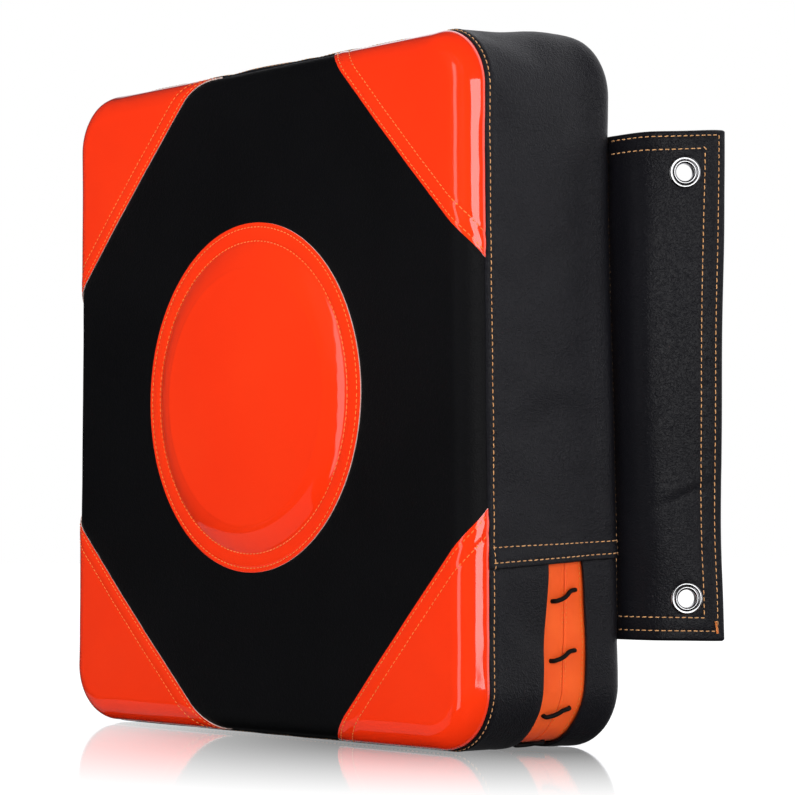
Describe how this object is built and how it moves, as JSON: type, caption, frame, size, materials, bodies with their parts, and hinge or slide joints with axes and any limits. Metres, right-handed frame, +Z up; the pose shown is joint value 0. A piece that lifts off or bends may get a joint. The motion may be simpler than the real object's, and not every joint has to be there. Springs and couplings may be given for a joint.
{
  "type": "wall punch pad",
  "caption": "Square foam-filled punch pad with a round target disc, corner patches, a laced lower closure and side flaps with eyelets for hanging it on a wall.",
  "frame": {"origin": "centre of the flat back face, which rests against the wall", "axes": "+X to the striker's right, +Y out of the back face into the wall, +Z up"},
  "size_m": [0.4776, 0.159, 0.4],
  "materials": {
    "front_cover": "smooth coated fabric, soft satin",
    "side_cover": "fine-grained coated fabric, satin",
    "glossy_orange": "patent gloss",
    "orange_tape": "satin",
    "lace_cord": "braided cord",
    "eyelet_metal": "bright plating",
    "soft_foam": "open-cell foam",
    "dense_foam": "closed-cell foam",
    "flap_canvas": "woven canvas",
    "flap_cover": "fine-grained coated fabric, satin",
    "lining": "plain weave"
  },
  "bodies": {
    "pad": {"back_panel": "side_cover", "closure_lace": "lace_cord", "closure_tape_front": "orange_tape", "closure_tape_rear": "orange_tape", "closure_underflap": "lining", "core_foam": "soft_foam", "corner_patch_bottom_left": "glossy_orange", "corner_patch_bottom_right": "glossy_orange", "corner_patch_top_left": "glossy_orange", "corner_patch_top_right": "glossy_orange", "flap_left_seam_strip": "flap_cover", "flap_right_seam_strip": "flap_cover", "front_panel": "front_cover", "lower_gusset_front": "side_cover", "lower_gusset_rear": "side_cover", "rear_foam": "soft_foam", "strike_foam": "dense_foam", "target_disc": "glossy_orange", "target_disc_padding": "soft_foam", "upper_gusset": "side_cover"},
    "flap_right_inner": {"flap_right_inner_core": "flap_canvas", "flap_right_inner_front_skin": "flap_cover", "flap_right_inner_rear_skin": "flap_cover"},
    "flap_right_outer": {"flap_right_eyelets": "eyelet_metal", "flap_right_outer_core": "flap_canvas", "flap_right_outer_front_skin": "flap_cover", "flap_right_outer_rear_skin": "flap_cover", "flap_right_washers": "eyelet_metal"},
    "flap_left_inner": {"flap_left_inner_core": "flap_canvas", "flap_left_inner_front_skin": "flap_cover", "flap_left_inner_rear_skin": "flap_cover"},
    "flap_left_outer": {"flap_left_eyelets": "eyelet_metal", "flap_left_outer_core": "flap_canvas", "flap_left_outer_front_skin": "flap_cover", "flap_left_outer_rear_skin": "flap_cover", "flap_left_washers": "eyelet_metal"}
  },
  "joints": [
    {"name": "flap_right_root", "type": "hinge", "parent": "pad", "child": "flap_right_inner", "pos_m": [0.1934, -0.0033, 0], "axis": [0, 0, 1], "range_deg": [-25, 110]},
    {"name": "flap_right_curl", "type": "hinge", "parent": "flap_right_inner", "child": "flap_right_outer", "pos_m": [0.22006, 0.00942, 0], "axis": [0, 0, 1], "range_deg": [-37, 20]},
    {"name": "flap_left_root", "type": "hinge", "parent": "pad", "child": "flap_left_inner", "pos_m": [-0.1934, -0.0033, 0], "axis": [0, 0, -1], "range_deg": [-25, 110]},
    {"name": "flap_left_curl", "type": "hinge", "parent": "flap_left_inner", "child": "flap_left_outer", "pos_m": [-0.22006, 0.00942, 0], "axis": [0, 0, -1], "range_deg": [-37, 20]}
  ]
}
